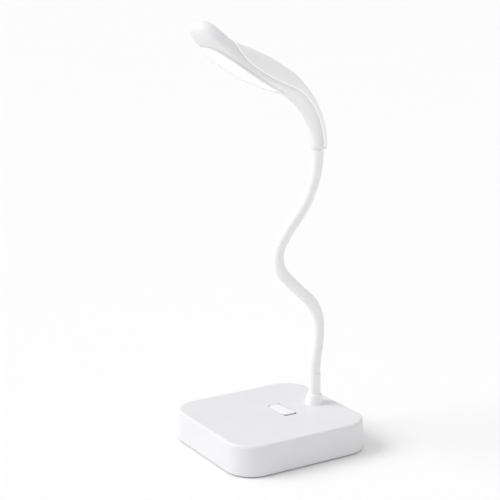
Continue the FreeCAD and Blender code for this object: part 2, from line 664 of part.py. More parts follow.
def switch_parts():
    pivot = pivot_point()
    wall = dim("switch_wall")
    ceiling = evaluate(CEILING)
    gap = dim("rocker_gap")
    cavity_x = dim("rocker_length") / 2 + gap
    cavity_y = dim("rocker_width") / 2 + gap
    floor = ceiling - dim("switch_depth")
    y = dim("rocker_y")
    housing = block(-cavity_x - wall, y - cavity_y - wall, floor, cavity_x + wall, y + cavity_y + wall, ceiling)
    ear = dim("ear_length")
    reach = cavity_x + wall + ear
    ears = block(-reach, y - 4.0, ceiling - dim("ear_thick"), reach, y + 4.0, ceiling)
    housing = housing.fuse(ears)
    housing = housing.cut(block(-cavity_x, y - cavity_y, floor + wall, cavity_x, y + cavity_y, ceiling + 1))
    for sign in (-1, 1):
        stake = Vector(sign * (cavity_x + wall + ear / 2), y, ceiling - dim("ear_thick") - 1)
        housing = housing.cut(cylinder(dim("post_radius") + 0.1, stake, Vector(0, 0, 1), dim("ear_thick") + 2))
    span = 2 * (cavity_y + wall)
    through = cylinder(dim("pin_radius"), Vector(0, y - span, pivot.z), Vector(0, 1, 0), 2 * span)
    housing = housing.cut(through)
    blades = []
    for place in SWITCH_BLADES:
        x = place * cavity_x
        blades.append(block(x - 1.2, y - BLADE_THICK / 2, floor - BLADE_LENGTH,
                            x + 1.2, y + BLADE_THICK / 2, floor + wall + 1.2))
    for blade in blades:
        housing = housing.cut(blade)
    put("switch_housing", housing.removeSplitter())
    put("switch_terminals", Part.makeCompound(blades))
    pin = cylinder(dim("pin_radius"), Vector(0, y - cavity_y - wall, pivot.z), Vector(0, 1, 0), span)
    put("rocker_pin", pin)


# ---------------------------------------------------------------- neck mount

def neck_mount():
    turned("neck_collar", [
        ("dims.core_radius + dims.core_gap", "dims.collar_height"),
        ("dims.core_radius + dims.core_gap", "dims.collar_height - dims.socket_depth"),
        ("dims.core_bore", "dims.collar_height - dims.socket_depth"),
        ("dims.core_bore", "-dims.shank_length"),
        ("dims.shank_radius", "-dims.shank_length"),
        ("dims.shank_radius", "0"),
        ("dims.collar_foot_radius", "0"),
        ("dims.collar_top_radius", "dims.collar_height - dims.collar_edge"),
        ("dims.collar_top_radius - dims.collar_edge", "dims.collar_height"),
    ], y="dims.neck_y", z="dims.base_top")
    turned("neck_washer", [
        ("dims.shank_radius + dims.shank_gap", "0"),
        ("dims.washer_radius", "0"),
        ("dims.washer_radius", "dims.washer_thick"),
        ("dims.shank_radius + dims.shank_gap", "dims.washer_thick"),
    ], y="dims.neck_y", z=CEILING + " - dims.washer_thick")
    nut = new_body("neck_nut")
    sketch = new_sketch(nut, "XY_Plane")
    draw_polygon(sketch, [("dims.nut_flats / sqrt(3) * cos(%ddeg)" % a, "dims.nut_flats / sqrt(3) * sin(%ddeg)" % a)
                          for a in range(0, 360, 60)])
    draw_circle(sketch, "0", "0", "dims.shank_radius")
    pad(nut, sketch, "dims.nut_thick")
    nut.setExpression("Placement.Base.y", "dims.neck_y")
    nut.setExpression("Placement.Base.z", CEILING + " - dims.washer_thick - dims.nut_thick")
    turned("neck_ferrule", [
        ("dims.sleeve_radius + dims.ferrule_gap", "0"),
        ("dims.ferrule_radius", "0"),
        ("dims.ferrule_radius", "dims.ferrule_height"),
        ("dims.sleeve_radius + dims.ferrule_gap", "dims.ferrule_height"),
    ], y="dims.neck_y", z="dims.base_top + dims.collar_height")


# ---------------------------------------------------------------- neck

class NeckArc:
    """One arc of the neck's centre line, in the plane X = 0; lean is measured from +Z towards +Y."""

    def __init__(self, start, lean, length, turn):
        self.start, self.lean, self.length, self.turn = start, lean, length, turn
        bend = length / turn
        self.centre = start + Vector(0, math.cos(lean), -math.sin(lean)) * bend
        self.end = self.centre - Vector(0, math.cos(lean + turn), -math.sin(lean + turn)) * bend

    def direction(self, share):
        lean = self.lean + self.turn * share
        return Vector(0, math.sin(lean), math.cos(lean))

    def point(self, share):
        lean = self.lean + self.turn * share
        return self.centre - Vector(0, math.cos(lean), -math.sin(lean)) * (self.length / self.turn)

    def rod(self, radius, start=0.0, end=1.0, hole=None):
        """A round rod or tube along the arc between two shares of its length."""
        face = disc(radius, self.point(start), self.direction(start), hole)
        angle = math.degrees(self.turn) * (end - start)
        return face.revolve(self.centre, Vector(-1, 0, 0), angle)


FERRULE_TOP = dim("base_top") + dim("collar_height") + dim("ferrule_height")


def neck_arcs():
    arcs = []
    start, lean = Vector(0, dim("neck_y"), FERRULE_TOP), 0.0
    for index in range(len(NECK_ARCS)):
        turn = math.radians(dim("neck_turn_%d" % index))
        arc = NeckArc(start, lean, dim("neck_length_%d" % index), turn)
        arcs.append(arc)
        start, lean = arc.end, lean + turn
    return arcs


ARCS = neck_arcs()
HEAD_FOOT = ARCS[-1].end


def upper_end(core, sleeve, arc):
    """Ball end on the gooseneck, and a hollow shoulder on the sleeve round it."""
    pivot, along = arc.end, arc.direction(1.0)
    knob = ball(dim("ball_radius"), pivot, along)
    reach = 3 * dim("ball_radius")
    keep = cylinder(reach, pivot + along * (dim("ball_cut") - reach), along, reach)
    bore = cylinder(dim("core_bore"), pivot - along * reach, along, 2 * reach)
    keep_in_bore = arc.rod(dim("core_bore"), 0.5, 1.0)
    knob = knob.common(keep).cut(bore).cut(keep_in_bore)
    return core.fuse(knob), sleeve.cut(ball(dim("shoulder_radius"), pivot, along))


def lower_end(core, sleeve, arc):
    cup = ball(dim("cup_radius"), arc.start, arc.direction(0.0))
    return core.cut(cup), sleeve.cut(cup)


def core_and_sleeve(arc):
    core = arc.rod(dim("core_radius"), hole=dim("core_bore"))
    sleeve = arc.rod(dim("sleeve_radius"), hole=dim("core_radius") + dim("core_gap"))
    return core, sleeve


def neck_links():
    for number in range(1, LINKS + 1):
        arc = ARCS[number]
        core, sleeve = core_and_sleeve(arc)
        core, sleeve = upper_end(core, sleeve, arc)
        core, sleeve = lower_end(core, sleeve, arc)
        put("neck_core_%d" % number, core.removeSplitter())
        put("neck_sleeve_%d" % number, sleeve)
        off = dim("lead_break") / arc.length
        put("neck_lead_%d" % number, arc.rod(dim("lead_radius"), off, 1.0 - off))


def neck_foot():
    """The neck's lowest stretch, held by the collar and the ferrule."""
    arc = ARCS[0]
    up = Vector(0, 0, 1)
    seat = Vector(0, dim("neck_y"), dim("base_top") + dim("collar_height") - dim("socket_depth"))
    rim = Vector(0, dim("neck_y"), dim("base_top") + dim("collar_height"))
    core, sleeve = core_and_sleeve(arc)
    straight = cylinder(dim("core_radius"), seat, up, FERRULE_TOP - seat.z)
    straight = straight.cut(cylinder(dim("core_bore"), seat, up, FERRULE_TOP - seat.z))
    jacket = cylinder(dim("sleeve_radius"), rim, up, dim("ferrule_height"))
    jacket = jacket.cut(cylinder(dim("core_radius") + dim("core_gap"), rim, up, dim("ferrule_height")))
    core, sleeve = upper_end(core.fuse(straight), sleeve.fuse(jacket), arc)
    put("neck_core_base", core.removeSplitter())
    put("neck_sleeve_base", sleeve)

    plug_z = evaluate(BOARD_TOP) + SOCKET_HEIGHT / 2
    radius = dim("lead_radius")
    plug_y = evaluate(BOARD_Y) - NECK_SOCKET + SOCKET_DEPTH
    bottom = lead([Vector(0, plug_y, plug_z), Vector(0, dim("neck_y"), plug_z),
                   Vector(0, dim("neck_y"), FERRULE_TOP)], radius, 5.0)
    off = dim("lead_break") / arc.length
    put("neck_lead_base", bottom.fuse(arc.rod(radius, 0.0, 1.0 - off)).removeSplitter())


# ---------------------------------------------------------------- lamp head

class HeadLine:
    """The head's underside in the plane X = 0: a short straight, a bend forward, a slow bend back up."""

    def __init__(self):
        self.straight = dim("stem_straight")
        self.first = dim("stem_bend")
        self.first_turn = math.radians(dim("stem_turn"))
        self.second = dim("leaf_bend")
        self.start = HEAD_FOOT - Vector(0, dim("stem_radius"), 0)
        self.mid = self.straight + self.first * self.first_turn
        self.bend_start = self.start + Vector(0, 0, self.straight)
        self.first_centre = self.bend_start - Vector(0, self.first, 0)
        self.leaf_start = self.first_centre + self.normal_at(self.first_turn) * self.first
        self.second_centre = self.leaf_start + self.normal_at(self.first_turn) * self.second

    @staticmethod
    def normal_at(lean):
        """Unit vector towards the back of the head; lean is the forward lean from +Z."""
        return Vector(0, math.cos(lean), math.sin(lean))

    @staticmethod
    def along_at(lean):
        return Vector(0, -math.sin(lean), math.cos(lean))

    def lean(self, place):
        if place <= self.straight:
            return 0.0
        if place <= self.mid:
            return (place - self.straight) / self.first
        return self.first_turn - (place - self.mid) / self.second

    def point(self, place, height=0.0):
        lean = self.lean(place)
        if place <= self.straight:
            foot = self.start + Vector(0, 0, place)
        elif place <= self.mid:
            foot = self.first_centre + self.normal_at(lean) * self.first
        else:
            foot = self.second_centre - self.normal_at(lean) * self.second
        return foot + self.normal_at(lean) * height


LINE = HeadLine()
SECTION_POINTS = 20
UPPER_SQUARENESS = 2.15


def power(value, exponent):
    return math.copysign(abs(value) ** exponent, value)


def head_section(place, half, height, middle, bottom, squareness):
    """A closed smooth outline across the head, flat below and domed above."""
    lean = LINE.lean(place)
    foot, normal = LINE.point(place), LINE.normal_at(lean)
    points = []
    for i in range(SECTION_POINTS):
        angle = 2 * math.pi * i / SECTION_POINTS - math.pi / 2
        c, s = math.cos(angle), math.sin(angle)
        if s > 0:
            x = half * power(c, 2 / UPPER_SQUARENESS)
            rise = middle + (height - middle) * power(s, 2 / UPPER_SQUARENESS)
        else:
            x = half * power(c, 2 / squareness)
            rise = middle + (middle - bottom) * power(s, 2 / squareness)
        points.append(foot + Vector(x, 0, 0) + normal * rise)
    curve = Part.BSplineCurve()
    curve.interpolate(Points=points, PeriodicFlag=True)
    return Part.Wire(curve.toShape())


def loft(wires):
    solid = Part.makeLoft(wires, True, False)
    if solid.Volume < 0:
        solid.reverse()
    return solid


def table_value(place, column):
    """Smooth reading of one column of the section table: a cubic that adds no bumps between rows."""
    places = [section[0] for section in HEAD_SECTIONS]
    values = [section[column] for section in HEAD_SECTIONS]
    last = len(places) - 1
    spans = [b - a for a, b in zip(places, places[1:])]
    slopes = [(b - a) / span for a, b, span in zip(values, values[1:], spans)]

    def tangent(k):
        if k in (0, last):
            return slopes[min(k, last - 1)]
        before, after = slopes[k - 1], slopes[k]
        if before * after <= 0:
            return 0.0
        return (spans[k - 1] + spans[k]) / (spans[k] / before + spans[k - 1] / after)

    k = max(i for i in range(last) if i == 0 or places[i] <= place)
    t = (place - places[k]) / spans[k]
    return ((2 * t ** 3 - 3 * t ** 2 + 1) * values[k] + (t ** 3 - 2 * t ** 2 + t) * tangent(k) * spans[k]
            + (3 * t ** 2 - 2 * t ** 3) * values[k + 1] + (t ** 3 - t ** 2) * tangent(k + 1) * spans[k])


def head_profile():
    """Sections at even steps along the head, each with its lowest point's height, then the nose's."""
    profile = []
    end = HEAD_SECTIONS[-1][0]
    for step in range(HEAD_STEPS + 1):
        place = end * step / HEAD_STEPS
        half, height, middle, squareness = [table_value(place, column) for column in (1, 2, 3, 4)]
        profile.append((place, half, height, middle, 0.0, squareness))
    for share in NOSE_SHARES:
        profile.append((end + dim("nose_length") * share,
                        half * (1 - share ** 2.5) ** 0.5,
                        middle + (height - middle) * (1 - share ** 5) ** 0.5,
                        middle,
                        middle - middle * (1 - share ** 4) ** 0.5,
                        squareness - share * 0.8))
    return profile


def inner_size(half, height, middle):
    """Half width and height of the part under the back cover."""
    return half * INNER_SHARE, max(height - dim("cover_depth"), (height + middle) / 2)


def seam_region():
    """Everything above the seam line on the head's side, as a thick slab across X."""
    end = HEAD_SECTIONS[-1][0]
    places = [dim("cover_start")] + [end * step / HEAD_STEPS for step in range(1, HEAD_STEPS + 1)]
    points = [LINE.point(place, table_value(place, 5)) for place in places]
    curve = Part.BSplineCurve()
    curve.interpolate(Points=points)
    over = 40.0
    back = HEAD_FOOT.y + over
    beyond = LINE.point(end, over)
    corners = [points[-1], beyond, Vector(0, HEAD_FOOT.y, beyond.z), Vector(0, back, HEAD_FOOT.z + over),
               Vector(0, back, points[0].z), points[0]]
    edges = [curve.toShape()]
    edges += [Part.LineSegment(a, b).toShape() for a, b in zip(corners, corners[1:])]
    slab = Part.Face(Part.Wire(edges)).extrude(Vector(2 * over, 0, 0))
    slab.translate(Vector(-over, 0, 0))
    return slab


PANEL_LEAN = 1.35
PANEL_BLUNTNESS = 0.25


def leaf_outline(inset, start, end):
    """The light panel's outline as a prism square to the panel: blunt below, round at the tip."""
    half = dim("panel_half") - inset
    lean = LINE.lean((start + end) / 2)
    along, normal = LINE.along_at(lean), LINE.normal_at(lean)
    foot = LINE.point((start + end) / 2)
    low = (LINE.point(start) - foot).dot(along) + inset
    high = (LINE.point(end) - foot).dot(along) - inset
    steps = 9
    right, left = [], []
    for i in range(steps + 1):
        share = (1 - math.cos(math.pi * i / steps)) / 2
        centre = foot + along * (low + (high - low) * share)
        width = half * math.sin(math.pi * share ** PANEL_LEAN) ** PANEL_BLUNTNESS if 0 < i < steps else 0.0
        right.append(centre + Vector(width, 0, 0))
        left.append(centre - Vector(width, 0, 0))
    curve = Part.BSplineCurve()
    curve.interpolate(Points=right + left[-2:0:-1], PeriodicFlag=True)
    face = Part.Face(Part.Wire(curve.toShape()))
    depth = 60.0
    face.translate(normal * (-depth / 3))
    return face.extrude(normal * depth)


def band(low, high):
    """Between two heights above the underside, along the light panel."""
    width = 80.0
    start = LINE.second_centre - Vector(width / 2, 0, 0)
    outer = cylinder(dim("leaf_bend") - low, start, Vector(1, 0, 0), width)
    return outer.cut(cylinder(dim("leaf_bend") - high, start, Vector(1, 0, 0), width))


def lamp_head():
    proud, shell, grow = dim("cover_proud"), dim("head_shell"), dim("cover_seam")
    body_wires, inner_wires, cover_wires, fit_wires, hollow_wires = [], [], [], [], []
    for place, half, height, middle, bottom, squareness in head_profile():
        inner_half, inner_height = inner_size(half, height, middle)
        own_height = inner_height if place < dim("stem_plain") else height - proud
        rest = (middle, bottom, squareness)
        body_wires.append(head_section(place, half, own_height, *rest))
        inner_wires.append(head_section(place, inner_half, inner_height, *rest))
        fit_wires.append(head_section(place, inner_half + grow, inner_height + grow, *rest))
        cover_wires.append(head_section(place, half + proud, height, *rest))
        if inner_height - shell > middle + shell / 2:
            hollow_wires.append(head_section(place, inner_half - shell, inner_height - shell, middle,
                                             -2 * shell, squareness))
    above = seam_region()
    outer = loft(body_wires)
    body = outer.cut(above).fuse(loft(inner_wires).common(above))
    cover = loft(cover_wires).common(above).cut(loft(fit_wires))

    start, end = dim("panel_start"), dim("panel_end")
    seat, gap, ledge = dim("panel_thick"), dim("panel_gap"), dim("panel_ledge")
    board_low = seat + dim("reflector_depth")
    board_high = board_low + dim("strip_thick")
    body = body.cut(leaf_outline(-gap, start, end).common(band(-6.0, seat)))
    inside = leaf_outline(ledge, start, end)
    body = body.cut(inside.common(loft(hollow_wires)))
    body = body.cut(inside.common(band(0.0, board_high + gap)))

    screws = []
    posts = []
    screw_holes = []
    for place in (start + dim("post_inset"), end - dim("post_inset")):
        normal = LINE.normal_at(LINE.lean(place))
        reach = table_value(place, 2) - dim("cover_depth") - shell / 2 - board_high
        posts.append(cylinder(dim("post_half"), LINE.point(place, board_high + 0.03), normal, reach))
        screw_holes.append(cylinder(dim("head_screw_radius"), LINE.point(place, board_low - 3.0), normal,
                                    3.0 + dim("head_screw_length")))
        head_at = LINE.point(place, board_low - dim("head_screw_top"))
        screw = cylinder(dim("head_screw_head"), head_at, normal, dim("head_screw_top"))
        screw = screw.fuse(cylinder(dim("head_screw_radius"), LINE.point(place, board_low), normal,
                                    dim("head_screw_length")))
        screws.append(screw.removeSplitter())
    for post in posts:
        body = body.fuse(post)
    for hole in screw_holes:
        body = body.cut(hole)

    # The gooseneck's socket and the lead's way through the stem.
    centre_line = dim("stem_radius")
    socket = cylinder(dim("core_radius") + dim("core_gap"), HEAD_FOOT, Vector(0, 0, 1), dim("stem_socket"))
    centre = LINE.first_centre
    arc_start = LINE.point(dim("stem_straight"), centre_line)
    arc_end = LINE.point(LINE.mid, centre_line)
    body = body.cut(socket)
    duct_face = disc(dim("core_bore"), arc_start, Vector(0, 0, 1))
    duct = duct_face.revolve(centre, Vector(1, 0, 0), math.degrees(LINE.first_turn))
    duct = duct.fuse(cylinder(dim("core_bore"), arc_end, LINE.along_at(LINE.first_turn), 6.0))
    body = body.cut(duct)
    put("head_body", body.removeSplitter())
    put("head_back_cover", cover.removeSplitter())

    put("diffuser", leaf_outline(0.0, start, end).common(band(-6.0, seat)).common(outer))
    frame = leaf_outline(ledge + gap, start, end).common(band(seat, board_low))
    frame = frame.cut(leaf_outline(ledge + gap + dim("reflector_wall"), start, end))
    put("reflector_frame", frame)
    board = leaf_outline(ledge + gap, start, end).common(band(board_low, board_high))
    for hole in screw_holes:
        board = board.cut(hole)
    put("led_board", board)
    put("head_screws", Part.makeCompound(screws))

    leds = []
    count = int(dim("led_count"))
    first, last = start + dim("led_inset"), end - dim("led_inset")
    for i in range(2 * count):
        place = first + (last - first) * (i // 2) / (count - 1)
        side = dim("led_row") * (1 - 2 * (i % 2))
        lean = LINE.lean(place)
        chip = Part.makeBox(dim("led_width"), dim("led_length"), dim("led_height"),
                            Vector(-dim("led_width") / 2, -dim("led_length") / 2, -dim("led_height")))
        axes = Rotation(Vector(1, 0, 0), LINE.along_at(lean) * -1, LINE.normal_at(lean), "ZXY")
        chip.Placement = Placement(LINE.point(place, board_low) + Vector(side, 0, 0), axes)
        leds.append(chip)
    put("leds", Part.makeCompound(leds))

    neck_head(arc_start, centre, duct_length=dim("stem_straight"))


def neck_head(arc_start, centre, duct_length):
    """The neck's top stretch, seated in the stem, and the lead on to the light board."""
    arc = ARCS[-1]
    up = Vector(0, 0, 1)
    core, sleeve = core_and_sleeve(arc)
    seat = dim("stem_socket") - 0.5
    straight = cylinder(dim("core_radius"), HEAD_FOOT, up, seat)
    straight = straight.cut(cylinder(dim("core_bore"), HEAD_FOOT, up, seat))
    core, sleeve = lower_end(core.fuse(straight), sleeve, arc)
    put("neck_core_head", core.removeSplitter())
    put("neck_sleeve_head", sleeve)
    off = dim("lead_break") / arc.length
    radius = dim("lead_radius")
    foot = cylinder(radius, HEAD_FOOT, up, duct_length)
    turn = disc(radius, arc_start, up).revolve(centre, Vector(1, 0, 0), math.degrees(LINE.first_turn))
    put("neck_lead_head", arc.rod(radius, off, 1.0).fuse([foot, turn]).removeSplitter())


# ---------------------------------------------------------------- leads in the base

def base_leads():
    """The cell's two leads and the switch's three, each a round insulated wire."""
    plug_z = evaluate(BOARD_TOP) + SOCKET_HEIGHT / 2
    plug_y = evaluate(BOARD_Y) - SOCKET_ROW
    thick, thin = 0.9, 0.6
    half = dim("cell_length") / 2 + dim("contact_thick")
    side = half + dim("cell_gap") + dim("tray_wall") + 4.0
    cell_y = evaluate(CELL_Y)
    exit_z = evaluate(CELL_Z) + dim("cell_radius") * 0.35 + 1.2
    runs = []
    for sign in (-1, 1):
        runs.append(lead([Vector(sign * half, cell_y, exit_z),
                          Vector(sign * side, cell_y, exit_z),
                          Vector(sign * side, plug_y - 4.5, plug_z),
                          Vector(sign * SOCKET_X, plug_y - 4.5, plug_z),
                          Vector(sign * SOCKET_X, plug_y, plug_z)], thick, 3.0))
    put("battery_leads", Part.makeCompound(runs))

    runs = []
    for place in SWITCH_BLADES:
        x = place * (dim("rocker_length") / 2 + dim("rocker_gap"))
        y = dim("rocker_y") + BLADE_THICK / 2
        z = evaluate(CEILING) - dim("switch_depth") - BLADE_LENGTH / 2
        end = place * 3.5
        points = [Vector(x, y, z), Vector(x, y + 4.5, z),
                  Vector(end, plug_y - 3.5, plug_z), Vector(end, plug_y, plug_z)]
        runs.append(lead(points, thin, 3.0))
    put("switch_leads", Part.makeCompound(runs))


base_shell()
bottom_cover()
antislip_pad()
ballast_plate()
cell_parts()
control_board()
board_components()
charge_inlet()
rocker()
switch_parts()
neck_mount()
neck_foot()
neck_links()
lamp_head()
base_leads()
corner_places = [(sx * evaluate(BOSS_X), sy * evaluate(BOSS_Y)) for sx in (1, -1) for sy in (1, -1)]
screw_group("cover_screws", corner_places, dim("pad_thick") + dim("head_height"), Vector(0, 0, 1),
            dim("screw_radius"), dim("head_radius"), dim("head_height"), dim("screw_length"))
board_places = [(sx * evaluate(BOARD_HOLE_X), evaluate(BOARD_Y) + sy * evaluate(BOARD_HOLE_Y))
                for sx in (1, -1) for sy in (1, -1)]
screw_group("board_screws", board_places, evaluate(BOARD_TOP), Vector(0, 0, -1),
            dim("screw_radius"), dim("head_radius"), dim("head_height"), dim("board_rise"))

doc.recompute()
for item in doc.Objects:
    if "Invalid" in item.State or "Error" in item.State:
        raise RuntimeError("%s failed: %s" % (item.Label, item.State))
for node in NODES:
    shape = node.Shape
    if shape.isNull() or not shape.isValid():
        raise RuntimeError("%s has no valid shape" % node.Label)
for node in NODES:
    node.Shape.exportStep("parts/%s.step" % node.Label)
print("%d nodes" % len(NODES))
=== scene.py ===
import json
import math

import bmesh
import bpy
from mathutils import Matrix, Vector


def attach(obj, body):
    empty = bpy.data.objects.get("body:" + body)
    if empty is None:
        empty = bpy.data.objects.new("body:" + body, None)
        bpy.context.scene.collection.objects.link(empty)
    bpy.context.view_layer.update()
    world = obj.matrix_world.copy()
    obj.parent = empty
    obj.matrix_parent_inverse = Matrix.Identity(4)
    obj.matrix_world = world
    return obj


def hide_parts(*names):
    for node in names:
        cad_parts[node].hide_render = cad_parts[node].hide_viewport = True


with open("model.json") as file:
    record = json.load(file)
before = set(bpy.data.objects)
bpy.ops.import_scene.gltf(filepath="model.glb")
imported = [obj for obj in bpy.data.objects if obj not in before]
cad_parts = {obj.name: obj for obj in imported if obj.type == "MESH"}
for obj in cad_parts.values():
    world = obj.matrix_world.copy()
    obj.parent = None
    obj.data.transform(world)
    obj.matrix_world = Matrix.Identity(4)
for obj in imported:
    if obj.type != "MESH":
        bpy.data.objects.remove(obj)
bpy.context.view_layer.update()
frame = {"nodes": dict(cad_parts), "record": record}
MM = 0.001


# ---------------------------------------------------------------- materials

# Noise scales are per metre, and bump and scatter depths are in metres.
BROAD_SCALE, BROAD_DETAIL, FINE_DETAIL = 28.0, 4.0, 2.0
PATCH_SCALE, FROST_SCALE = 45.0, 1500.0
MOTTLE_FROM, MOTTLE_TO = 0.3, 0.7
GLOSS_SPREAD, GLOW_SPREAD = 0.05, 0.06
GRAIN_DEPTH, FROST_DEPTH = 0.0002, 0.0001
FROST_BUMP, FROST_ROUGH = 0.1, 0.55
COAT_ROUGH = 0.25
SCATTER_DEPTH = 0.005


def node_material(name):
    """A new material with its nodes, its links and its shader."""
    material = bpy.data.materials.new(name)
    material.use_nodes = True
    nodes = material.node_tree.nodes
    shader = nodes["Principled BSDF"]
    return material, nodes, material.node_tree.links, shader


def moulded(name, colour, rough, grain=2200.0, depth=0.06, mottle=0.02, coat=0.0, sheen=0.0,
            metallic=0.0, scatter=0.0):
    """Moulded plastic, rubber or metal: fine surface grain, faint mottling and uneven gloss."""
    material, nodes, links, shader = node_material(name)
    coords = nodes.new("ShaderNodeTexCoord")
    broad = nodes.new("ShaderNodeTexNoise")
    broad.inputs["Scale"].default_value = BROAD_SCALE
    broad.inputs["Detail"].default_value = BROAD_DETAIL
    fine = nodes.new("ShaderNodeTexNoise")
    fine.inputs["Scale"].default_value = grain
    fine.inputs["Detail"].default_value = FINE_DETAIL
    for noise in (broad, fine):
        links.new(coords.outputs["Object"], noise.inputs["Vector"])
    tint = nodes.new("ShaderNodeValToRGB")
    low = [max(0.0, c * (1.0 - mottle)) for c in colour]
    high = [min(1.0, c * (1.0 + mottle * 0.5)) for c in colour]
    tint.color_ramp.elements[0].position = MOTTLE_FROM
    tint.color_ramp.elements[0].color = (*low, 1.0)
    tint.color_ramp.elements[1].position = MOTTLE_TO
    tint.color_ramp.elements[1].color = (*high, 1.0)
    links.new(broad.outputs["Fac"], tint.inputs["Fac"])
    links.new(tint.outputs["Color"], shader.inputs["Base Color"])
    gloss = nodes.new("ShaderNodeMapRange")
    gloss.inputs["To Min"].default_value = max(0.02, rough - GLOSS_SPREAD)
    gloss.inputs["To Max"].default_value = min(1.0, rough + GLOSS_SPREAD)
    links.new(broad.outputs["Fac"], gloss.inputs["Value"])
    links.new(gloss.outputs["Result"], shader.inputs["Roughness"])
    bump = nodes.new("ShaderNodeBump")
    bump.inputs["Strength"].default_value = depth
    bump.inputs["Distance"].default_value = GRAIN_DEPTH
    links.new(fine.outputs["Fac"], bump.inputs["Height"])
    links.new(bump.outputs["Normal"], shader.inputs["Normal"])
    shader.inputs["Metallic"].default_value = metallic
    shader.inputs["Coat Weight"].default_value = coat
    shader.inputs["Coat Roughness"].default_value = COAT_ROUGH
    shader.inputs["Sheen Weight"].default_value = sheen
    shader.inputs["Subsurface Weight"].default_value = scatter
    shader.inputs["Subsurface Radius"].default_value = (1.0, 1.0, 1.0)
    shader.inputs["Subsurface Scale"].default_value = SCATTER_DEPTH
    return material


def lit_panel(name, colour, glow, strength):
    """A surface that glows a little unevenly: the lamp's frosted diffuser, lit from behind, and the painted
    highlight along the cover's seam, which no lamp lights.
    """
    material, nodes, links, shader = node_material(name)
    coords = nodes.new("ShaderNodeTexCoord")
    frost = nodes.new("ShaderNodeTexNoise")
    frost.inputs["Scale"].default_value = FROST_SCALE
    links.new(coords.outputs["Object"], frost.inputs["Vector"])
    patch = nodes.new("ShaderNodeTexNoise")
    patch.inputs["Scale"].default_value = PATCH_SCALE
    links.new(coords.outputs["Object"], patch.inputs["Vector"])
    level = nodes.new("ShaderNodeMapRange")
    level.inputs["To Min"].default_value = strength * (1.0 - GLOW_SPREAD)
    level.inputs["To Max"].default_value = strength * (1.0 + GLOW_SPREAD)
    links.new(patch.outputs["Fac"], level.inputs["Value"])
    links.new(level.outputs["Result"], shader.inputs["Emission Strength"])
    bump = nodes.new("ShaderNodeBump")
    bump.inputs["Strength"].default_value = FROST_BUMP
    bump.inputs["Distance"].default_value = FROST_DEPTH
    links.new(frost.outputs["Fac"], bump.inputs["Height"])
    links.new(bump.outputs["Normal"], shader.inputs["Normal"])
    shader.inputs["Base Color"].default_value = (*colour, 1.0)
    shader.inputs["Emission Color"].default_value = (*glow, 1.0)
    shader.inputs["Roughness"].default_value = FROST_ROUGH
    return material


# head_white is a look for pieces whose slot is shell_white; the seam's look, for a piece whose slot is
# cover_white, is a painted highlight that glows faintly where no lamp is.
MATERIALS = {
    "shell_white": moulded("shell_white", (0.775, 0.775, 0.79), 0.42, depth=0.08),
    "head_white": moulded("head_white", (0.83, 0.83, 0.84), 0.58, depth=0.06, scatter=0.6),
    "cover_white": moulded("cover_white", (0.94, 0.94, 0.945), 0.36, depth=0.05),
    # Painted highlight: the seam's look glows faintly to stand for the bright line of light along the
    # cover's edge.
    "seam_painted_highlight": lit_panel("seam_painted_highlight", (0.86, 0.86, 0.86), (1.0, 1.0, 1.0), 0.19),
    "sleeve_white": moulded("sleeve_white", (0.88, 0.88, 0.88), 0.55, grain=1200.0, depth=0.05, sheen=0.1,
                            scatter=0.1),
    "collar_white": moulded("collar_white", (0.91, 0.91, 0.915), 0.35, coat=0.1),
    "rocker_white": moulded("rocker_white", (0.90, 0.90, 0.91), 0.3, coat=0.1),
    "bottom_white": moulded("bottom_white", (0.72, 0.72, 0.72), 0.6, grain=900.0, depth=0.25),
    "pad_grey": moulded("pad_grey", (0.11, 0.11, 0.115), 0.85, grain=500.0, depth=0.5, mottle=0.2),
    "diffuser_milk": lit_panel("diffuser_milk", (0.86, 0.85, 0.80), (1.0, 0.965, 0.88), 0.62),
    "reflector_white": moulded("reflector_white", (0.85, 0.85, 0.85), 0.2, coat=0.3),
    "board_green": moulded("board_green", (0.02, 0.14, 0.05), 0.35, mottle=0.15, coat=0.3),
    "board_white": moulded("board_white", (0.75, 0.75, 0.73), 0.35, coat=0.3),
    "chip_black": moulded("chip_black", (0.02, 0.02, 0.02), 0.5, mottle=0.2),
    "led_yellow": moulded("led_yellow", (0.80, 0.66, 0.20), 0.3, coat=0.4),
    "switch_grey": moulded("switch_grey", (0.05, 0.05, 0.055), 0.5),
    "terminal_brass": moulded("terminal_brass", (0.70, 0.52, 0.22), 0.3, metallic=1.0),
    "steel_plain": moulded("steel_plain", (0.45, 0.46, 0.48), 0.35, metallic=1.0, mottle=0.08),
    "steel_zinc": moulded("steel_zinc", (0.60, 0.61, 0.63), 0.3, metallic=1.0, mottle=0.08),
    "nickel": moulded("nickel", (0.72, 0.71, 0.68), 0.22, metallic=1.0),
    "ballast_iron": moulded("ballast_iron", (0.10, 0.10, 0.105), 0.7, metallic=0.6, depth=0.4, mottle=0.25),
    "cell_wrap": moulded("cell_wrap", (0.02, 0.10, 0.28), 0.35, coat=0.4),
    "lead_insulation": moulded("lead_insulation", (0.62, 0.62, 0.60), 0.5),
}
NODE_SLOT = {entry["node"]: entry["material_slot"] for entry in frame["record"]["subparts"]}
for node, obj in frame["nodes"].items():
    material = MATERIALS[NODE_SLOT[node]]
    if not obj.material_slots:
        obj.data.materials.append(material)
    for entry in obj.material_slots:
        entry.material = material


# ---------------------------------------------------------------- mesh helpers

WELD = 1e-7


def power(value, exponent):
    """A power that keeps the sign of its value."""
    return math.copysign(abs(value) ** exponent, value)


